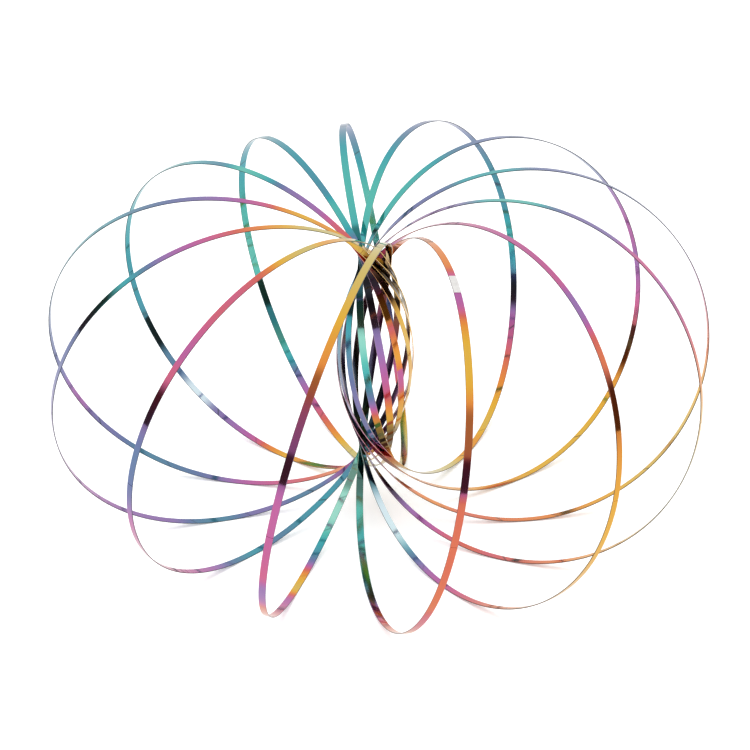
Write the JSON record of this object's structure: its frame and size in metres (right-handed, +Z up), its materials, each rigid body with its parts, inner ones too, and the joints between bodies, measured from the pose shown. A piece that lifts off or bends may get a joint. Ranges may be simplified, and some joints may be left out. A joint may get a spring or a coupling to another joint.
{
  "type": "spring coil toy",
  "caption": "Springy endless steel strip wound into a ring of round loops that pass through a tight hub; folds down to a flat coil.",
  "frame": {"origin": "on the surface that the toy rests on, under the middle of its box", "axes": "+Z up along the hub axis; the first loop points 6 degrees round from +X"},
  "size_m": [0.2374, 0.2262, 0.13],
  "materials": {
    "tinted_steel": "heat-tinted rainbow coating on polished spring steel strip"
  },
  "bodies": {
    "outer_pivot_01": {"outer_pivot_01": "tinted_steel"},
    "upper_turn_01": {"upper_turn_01": "tinted_steel"},
    "lower_turn_01": {"lower_turn_01": "tinted_steel"},
    "outer_pivot_02": {"outer_pivot_02": "tinted_steel"},
    "upper_turn_02": {"upper_turn_02": "tinted_steel"},
    "lower_turn_02": {"lower_turn_02": "tinted_steel"},
    "outer_pivot_03": {"outer_pivot_03": "tinted_steel"},
    "upper_turn_03": {"upper_turn_03": "tinted_steel"},
    "lower_turn_03": {"lower_turn_03": "tinted_steel"},
    "outer_pivot_04": {"outer_pivot_04": "tinted_steel"},
    "upper_turn_04": {"upper_turn_04": "tinted_steel"},
    "lower_turn_04": {"lower_turn_04": "tinted_steel"},
    "outer_pivot_05": {"outer_pivot_05": "tinted_steel"},
    "upper_turn_05": {"upper_turn_05": "tinted_steel"},
    "lower_turn_05": {"lower_turn_05": "tinted_steel"},
    "outer_pivot_06": {"outer_pivot_06": "tinted_steel"},
    "upper_turn_06": {"upper_turn_06": "tinted_steel"},
    "lower_turn_06": {"lower_turn_06": "tinted_steel"},
    "outer_pivot_07": {"outer_pivot_07": "tinted_steel"},
    "upper_turn_07": {"upper_turn_07": "tinted_steel"},
    "lower_turn_07": {"lower_turn_07": "tinted_steel"},
    "outer_pivot_08": {"outer_pivot_08": "tinted_steel"},
    "upper_turn_08": {"upper_turn_08": "tinted_steel"},
    "lower_turn_08": {"lower_turn_08": "tinted_steel"},
    "outer_pivot_09": {"outer_pivot_09": "tinted_steel"},
    "upper_turn_09": {"upper_turn_09": "tinted_steel"},
    "lower_turn_09": {"lower_turn_09": "tinted_steel"},
    "outer_pivot_10": {"outer_pivot_10": "tinted_steel"},
    "upper_turn_10": {"upper_turn_10": "tinted_steel"},
    "lower_turn_10": {"lower_turn_10": "tinted_steel"},
    "outer_pivot_11": {"outer_pivot_11": "tinted_steel"},
    "upper_turn_11": {"upper_turn_11": "tinted_steel"},
    "lower_turn_11": {"lower_turn_11": "tinted_steel"},
    "outer_pivot_12": {"outer_pivot_12": "tinted_steel"},
    "upper_turn_12": {"upper_turn_12": "tinted_steel"},
    "lower_turn_12": {"lower_turn_12": "tinted_steel"},
    "outer_pivot_13": {"outer_pivot_13": "tinted_steel"},
    "upper_turn_13": {"upper_turn_13": "tinted_steel"},
    "lower_turn_13": {"lower_turn_13": "tinted_steel"}
  },
  "joints": [
    {"name": "draw_in_02", "type": "slide", "parent": "outer_pivot_01", "child": "outer_pivot_02", "axis": [0.3849, -0.923, 0], "range_m": [0, 0.01793]},
    {"name": "draw_in_03", "type": "slide", "parent": "outer_pivot_01", "child": "outer_pivot_03", "axis": [0.591, -0.8066, 0], "range_m": [0, 0.03441]},
    {"name": "draw_in_04", "type": "slide", "parent": "outer_pivot_01", "child": "outer_pivot_04", "axis": [0.7609, -0.6489, 0], "range_m": [0, 0.04868]},
    {"name": "draw_in_05", "type": "slide", "parent": "outer_pivot_01", "child": "outer_pivot_05", "axis": [0.8885, -0.4588, 0], "range_m": [0, 0.06021]},
    {"name": "draw_in_06", "type": "slide", "parent": "outer_pivot_01", "child": "outer_pivot_06", "axis": [0.9696, -0.2446, 0], "range_m": [0, 0.06858]},
    {"name": "draw_in_07", "type": "slide", "parent": "outer_pivot_01", "child": "outer_pivot_07", "axis": [0.9999, -0.0149, 0], "range_m": [0, 0.07339]},
    {"name": "draw_in_08", "type": "slide", "parent": "outer_pivot_01", "child": "outer_pivot_08", "axis": [0.9754, 0.2204, 0], "range_m": [0, 0.07424]},
    {"name": "draw_in_09", "type": "slide", "parent": "outer_pivot_01", "child": "outer_pivot_09", "axis": [0.8936, 0.4488, 0], "range_m": [0, 0.0708]},
    {"name": "draw_in_10", "type": "slide", "parent": "outer_pivot_01", "child": "outer_pivot_10", "axis": [0.7557, 0.655, 0], "range_m": [0, 0.06297]},
    {"name": "draw_in_11", "type": "slide", "parent": "outer_pivot_01", "child": "outer_pivot_11", "axis": [0.5679, 0.8231, 0], "range_m": [0, 0.05105]},
    {"name": "draw_in_12", "type": "slide", "parent": "outer_pivot_01", "child": "outer_pivot_12", "axis": [0.3427, 0.9395, 0], "range_m": [0, 0.03579]},
    {"name": "draw_in_13", "type": "slide", "parent": "outer_pivot_01", "child": "outer_pivot_13", "axis": [0.0968, 0.9953, 0], "range_m": [0, 0.01834]},
    {"name": "collapse", "type": "hinge", "parent": "outer_pivot_01", "child": "upper_turn_01", "pos_m": [0.11837, 0.02346, 0.06323], "axis": [-0.975, -0.2082, 0.0775], "range_deg": [0, 67.87], "stiffness_Nm_per_rad": 0.001, "springref_deg": -85.94},
    {"name": "lower_fold_01", "type": "hinge", "parent": "outer_pivot_01", "child": "lower_turn_01", "pos_m": [0.11837, 0.02346, 0.06323], "axis": [-0.9954, -0.0925, -0.0247], "range_deg": [0, 67.7], "stiffness_Nm_per_rad": 0.001, "springref_deg": -85.94},
    {"name": "upper_fold_02", "type": "hinge", "parent": "outer_pivot_02", "child": "upper_turn_02", "pos_m": [0.09695, 0.07812, 0.06323], "axis": [-0.766, -0.6384, 0.0753], "range_deg": [0, 68.03], "stiffness_Nm_per_rad": 0.001, "springref_deg": -85.94},
    {"name": "lower_fold_02", "type": "hinge", "parent": "outer_pivot_02", "child": "lower_turn_02", "pos_m": [0.09695, 0.07812, 0.06323], "axis": [-0.8356, -0.5488, -0.0232], "range_deg": [0, 67.75], "stiffness_Nm_per_rad": 0.001, "springref_deg": -85.94},
    {"name": "upper_fold_03", "type": "hinge", "parent": "outer_pivot_03", "child": "upper_turn_03", "pos_m": [0.05002, 0.1095, 0.06323], "axis": [-0.3884, -0.9183, 0.0772], "range_deg": [0, 68.56], "stiffness_Nm_per_rad": 0.001, "springref_deg": -85.94},
    {"name": "lower_fold_03", "type": "hinge", "parent": "outer_pivot_03", "child": "lower_turn_03", "pos_m": [0.05002, 0.1095, 0.06323], "axis": [-0.4937, -0.8694, -0.0227], "range_deg": [0, 68.14], "stiffness_Nm_per_rad": 0.001, "springref_deg": -85.94},
    {"name": "upper_fold_04", "type": "hinge", "parent": "outer_pivot_04", "child": "upper_turn_04", "pos_m": [-0.00215, 0.11296, 0.06323], "axis": [0.0674, -0.9944, 0.0814], "range_deg": [0, 69.05], "stiffness_Nm_per_rad": 0.001, "springref_deg": -85.94},
    {"name": "lower_fold_04", "type": "hinge", "parent": "outer_pivot_04", "child": "lower_turn_04", "pos_m": [-0.00215, 0.11296, 0.06323], "axis": [-0.0547, -0.9982, -0.0226], "range_deg": [0, 68.69], "stiffness_Nm_per_rad": 0.001, "springref_deg": -85.94},
    {"name": "upper_fold_05", "type": "hinge", "parent": "outer_pivot_05", "child": "upper_turn_05", "pos_m": [-0.04959, 0.10096, 0.06323], "axis": [0.501, -0.8616, 0.0816], "range_deg": [0, 69.02], "stiffness_Nm_per_rad": 0.001, "springref_deg": -85.94},
    {"name": "lower_fold_05", "type": "hinge", "parent": "outer_pivot_05", "child": "lower_turn_05", "pos_m": [-0.04959, 0.10096, 0.06323], "axis": [0.3936, -0.919, -0.0221], "range_deg": [0, 68.87], "stiffness_Nm_per_rad": 0.001, "springref_deg": -85.94},
    {"name": "upper_fold_06", "type": "hinge", "parent": "outer_pivot_06", "child": "upper_turn_06", "pos_m": [-0.09276, 0.07401, 0.06323], "axis": [0.8295, -0.553, 0.0779], "range_deg": [0, 68.59], "stiffness_Nm_per_rad": 0.001, "springref_deg": -85.94},
    {"name": "lower_fold_06", "type": "hinge", "parent": "outer_pivot_06", "child": "lower_turn_06", "pos_m": [-0.09276, 0.07401, 0.06323], "axis": [0.7621, -0.6471, -0.0213], "range_deg": [0, 68.54], "stiffness_Nm_per_rad": 0.001, "springref_deg": -85.94},
    {"name": "upper_fold_07", "type": "hinge", "parent": "outer_pivot_07", "child": "upper_turn_07", "pos_m": [-0.11832, 0.0266, 0.06323], "axis": [0.9894, -0.1236, 0.0765], "range_deg": [0, 68.31], "stiffness_Nm_per_rad": 0.001, "springref_deg": -85.94},
    {"name": "lower_fold_07", "type": "hinge", "parent": "outer_pivot_07", "child": "lower_turn_07", "pos_m": [-0.11832, 0.0266, 0.06323], "axis": [0.9715, -0.2361, -0.0216], "range_deg": [0, 68.16], "stiffness_Nm_per_rad": 0.001, "springref_deg": -85.94},
    {"name": "upper_fold_08", "type": "hinge", "parent": "outer_pivot_08", "child": "upper_turn_08", "pos_m": [-0.11282, -0.02844, 0.06323], "axis": [0.9355, 0.3442, 0.0793], "range_deg": [0, 68.33], "stiffness_Nm_per_rad": 0.001, "springref_deg": -85.94},
    {"name": "lower_fold_08", "type": "hinge", "parent": "outer_pivot_08", "child": "lower_turn_08", "pos_m": [-0.11282, -0.02844, 0.06323], "axis": [0.9726, 0.2313, -0.0233], "range_deg": [0, 68.08], "stiffness_Nm_per_rad": 0.001, "springref_deg": -85.94},
    {"name": "upper_fold_09", "type": "hinge", "parent": "outer_pivot_09", "child": "upper_turn_09", "pos_m": [-0.08254, -0.07493, 0.06323], "axis": [0.6641, 0.7431, 0.0821], "range_deg": [0, 68.26], "stiffness_Nm_per_rad": 0.001, "springref_deg": -85.94},
    {"name": "lower_fold_09", "type": "hinge", "parent": "outer_pivot_09", "child": "lower_turn_09", "pos_m": [-0.08254, -0.07493, 0.06323], "axis": [0.7535, 0.657, -0.0251], "range_deg": [0, 68.08], "stiffness_Nm_per_rad": 0.001, "springref_deg": -85.94},
    {"name": "upper_fold_10", "type": "hinge", "parent": "outer_pivot_10", "child": "upper_turn_10", "pos_m": [-0.03536, -0.10677, 0.06323], "axis": [0.2293, 0.9699, 0.0816], "range_deg": [0, 67.94], "stiffness_Nm_per_rad": 0.001, "springref_deg": -85.94},
    {"name": "lower_fold_10", "type": "hinge", "parent": "outer_pivot_10", "child": "lower_turn_10", "pos_m": [-0.03536, -0.10677, 0.06323], "axis": [0.3485, 0.9369, -0.0259], "range_deg": [0, 67.84], "stiffness_Nm_per_rad": 0.001, "springref_deg": -85.94},
    {"name": "upper_fold_11", "type": "hinge", "parent": "outer_pivot_11", "child": "upper_turn_11", "pos_m": [0.02381, -0.11268, 0.06323], "axis": [-0.268, 0.9601, 0.0801], "range_deg": [0, 67.71], "stiffness_Nm_per_rad": 0.001, "springref_deg": -85.94},
    {"name": "lower_fold_11", "type": "hinge", "parent": "outer_pivot_11", "child": "lower_turn_11", "pos_m": [0.02381, -0.11268, 0.06323], "axis": [-0.1495, 0.9884, -0.0263], "range_deg": [0, 67.54], "stiffness_Nm_per_rad": 0.001, "springref_deg": -85.94},
    {"name": "upper_fold_12", "type": "hinge", "parent": "outer_pivot_12", "child": "upper_turn_12", "pos_m": [0.07749, -0.08496, 0.06323], "axis": [-0.7015, 0.7081, 0.0803], "range_deg": [0, 67.79], "stiffness_Nm_per_rad": 0.001, "springref_deg": -85.94},
    {"name": "lower_fold_12", "type": "hinge", "parent": "outer_pivot_12", "child": "lower_turn_12", "pos_m": [0.07749, -0.08496, 0.06323], "axis": [-0.6113, 0.7909, -0.0266], "range_deg": [0, 67.52], "stiffness_Nm_per_rad": 0.001, "springref_deg": -85.94},
    {"name": "upper_fold_13", "type": "hinge", "parent": "outer_pivot_13", "child": "upper_turn_13", "pos_m": [0.11017, -0.03508, 0.06323], "axis": [-0.9566, 0.2801, 0.0801], "range_deg": [0, 67.9], "stiffness_Nm_per_rad": 0.001, "springref_deg": -85.94},
    {"name": "lower_fold_13", "type": "hinge", "parent": "outer_pivot_13", "child": "lower_turn_13", "pos_m": [0.11017, -0.03508, 0.06323], "axis": [-0.9179, 0.3959, -0.0262], "range_deg": [0, 67.67], "stiffness_Nm_per_rad": 0.001, "springref_deg": -85.94}
  ],
  "couplings": [
    {"joint": "draw_in_02", "follows": "collapse", "m_per_rad": 0.01513},
    {"joint": "draw_in_03", "follows": "collapse", "m_per_rad": 0.029037},
    {"joint": "draw_in_04", "follows": "collapse", "m_per_rad": 0.041083},
    {"joint": "draw_in_05", "follows": "collapse", "m_per_rad": 0.050818},
    {"joint": "draw_in_06", "follows": "collapse", "m_per_rad": 0.057887},
    {"joint": "draw_in_07", "follows": "collapse", "m_per_rad": 0.061951},
    {"joint": "draw_in_08", "follows": "collapse", "m_per_rad": 0.062667},
    {"joint": "draw_in_09", "follows": "collapse", "m_per_rad": 0.05976},
    {"joint": "draw_in_10", "follows": "collapse", "m_per_rad": 0.053151},
    {"joint": "draw_in_11", "follows": "collapse", "m_per_rad": 0.043088},
    {"joint": "draw_in_12", "follows": "collapse", "m_per_rad": 0.030207},
    {"joint": "draw_in_13", "follows": "collapse", "m_per_rad": 0.015471},
    {"joint": "lower_fold_01", "follows": "collapse", "ratio": 0.99739},
    {"joint": "upper_fold_02", "follows": "collapse", "ratio": 1.0023},
    {"joint": "lower_fold_02", "follows": "collapse", "ratio": 0.9981},
    {"joint": "upper_fold_03", "follows": "collapse", "ratio": 1.01},
    {"joint": "lower_fold_03", "follows": "collapse", "ratio": 1.0038},
    {"joint": "upper_fold_04", "follows": "collapse", "ratio": 1.0173},
    {"joint": "lower_fold_04", "follows": "collapse", "ratio": 1.0119},
    {"joint": "upper_fold_05", "follows": "collapse", "ratio": 1.0168},
    {"joint": "lower_fold_05", "follows": "collapse", "ratio": 1.0145},
    {"joint": "upper_fold_06", "follows": "collapse", "ratio": 1.0104},
    {"joint": "lower_fold_06", "follows": "collapse", "ratio": 1.0098},
    {"joint": "upper_fold_07", "follows": "collapse", "ratio": 1.0064},
    {"joint": "lower_fold_07", "follows": "collapse", "ratio": 1.0042},
    {"joint": "upper_fold_08", "follows": "collapse", "ratio": 1.0066},
    {"joint": "lower_fold_08", "follows": "collapse", "ratio": 1.003},
    {"joint": "upper_fold_09", "follows": "collapse", "ratio": 1.0056},
    {"joint": "lower_fold_09", "follows": "collapse", "ratio": 1.003},
    {"joint": "upper_fold_10", "follows": "collapse", "ratio": 1.0008},
    {"joint": "lower_fold_10", "follows": "collapse", "ratio": 0.99945},
    {"joint": "upper_fold_11", "follows": "collapse", "ratio": 0.99748},
    {"joint": "lower_fold_11", "follows": "collapse", "ratio": 0.99505},
    {"joint": "upper_fold_12", "follows": "collapse", "ratio": 0.99866},
    {"joint": "lower_fold_12", "follows": "collapse", "ratio": 0.99474},
    {"joint": "upper_fold_13", "follows": "collapse", "ratio": 1.0003},
    {"joint": "lower_fold_13", "follows": "collapse", "ratio": 0.99694}
  ]
}
